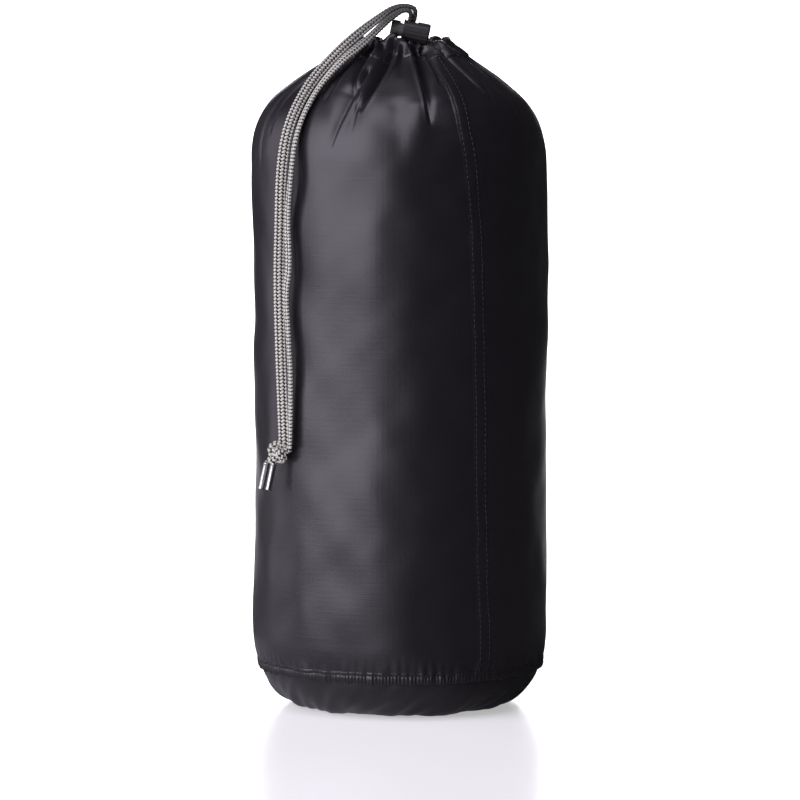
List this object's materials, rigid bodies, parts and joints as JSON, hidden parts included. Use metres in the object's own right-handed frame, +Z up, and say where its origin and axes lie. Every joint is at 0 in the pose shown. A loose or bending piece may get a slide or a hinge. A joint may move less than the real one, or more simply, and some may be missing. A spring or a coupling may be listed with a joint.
{
  "type": "compression sack",
  "caption": "Black nylon drawstring stuff sack, stuffed and standing, with a gathered mouth, a barrel cord lock and knotted braided cord ends with metal tips.",
  "frame": {"origin": "middle of the base, on the surface that the sack stands on", "axes": "+Z up the sack to its mouth, -Y to the front where the cord ends hang, +X to the right seen from the front"},
  "size_m": [0.17, 0.17, 0.4042],
  "materials": {
    "nylon_taffeta": "satin",
    "sewing_thread": "satin",
    "braided_cord": "matte",
    "lock_plastic": "satin",
    "plunger_plastic": "satin",
    "spring_steel": "satin",
    "aglet_metal": "polished"
  },
  "bodies": {
    "sack": {"body_panel": "nylon_taffeta", "base_panel": "nylon_taffeta", "side_seam_fell": "nylon_taffeta", "side_seam_stitch_left": "sewing_thread", "side_seam_stitch_right": "sewing_thread", "base_hem": "nylon_taffeta", "base_hem_stitching": "sewing_thread", "drawcord_casing": "nylon_taffeta", "casing_stitching": "sewing_thread", "casing_bartack": "sewing_thread", "drawcord_in_casing": "braided_cord", "drawcord_neck_left": "braided_cord", "drawcord_neck_right": "braided_cord"},
    "cord_lock": {"lock_barrel": "lock_plastic", "lock_spring": "spring_steel", "cord_loop_left": "braided_cord", "cord_loop_right": "braided_cord"},
    "plunger": {"lock_plunger": "plunger_plastic"},
    "cord_tail": {"tail_strand_left": "braided_cord", "tail_strand_right": "braided_cord", "tail_knot": "braided_cord", "aglet_left": "aglet_metal", "aglet_right": "aglet_metal"}
  },
  "joints": [
    {"name": "lock_slide", "type": "slide", "parent": "sack", "child": "cord_lock", "axis": [0.2079, 0, 0.9781], "range_m": [0, 0.01]},
    {"name": "plunger_press", "type": "slide", "parent": "cord_lock", "child": "plunger", "axis": [0.9781, 0, -0.2079], "range_m": [0, 0.003], "stiffness_N_per_m": 1500, "deforming": ["lock_spring"]},
    {"name": "tail_swing", "type": "hinge", "parent": "cord_lock", "child": "cord_tail", "pos_m": [-0.0127, -0.024, 0.3915], "axis": [-0.7302, 0.6832, 0], "range_deg": [0, 60]}
  ]
}
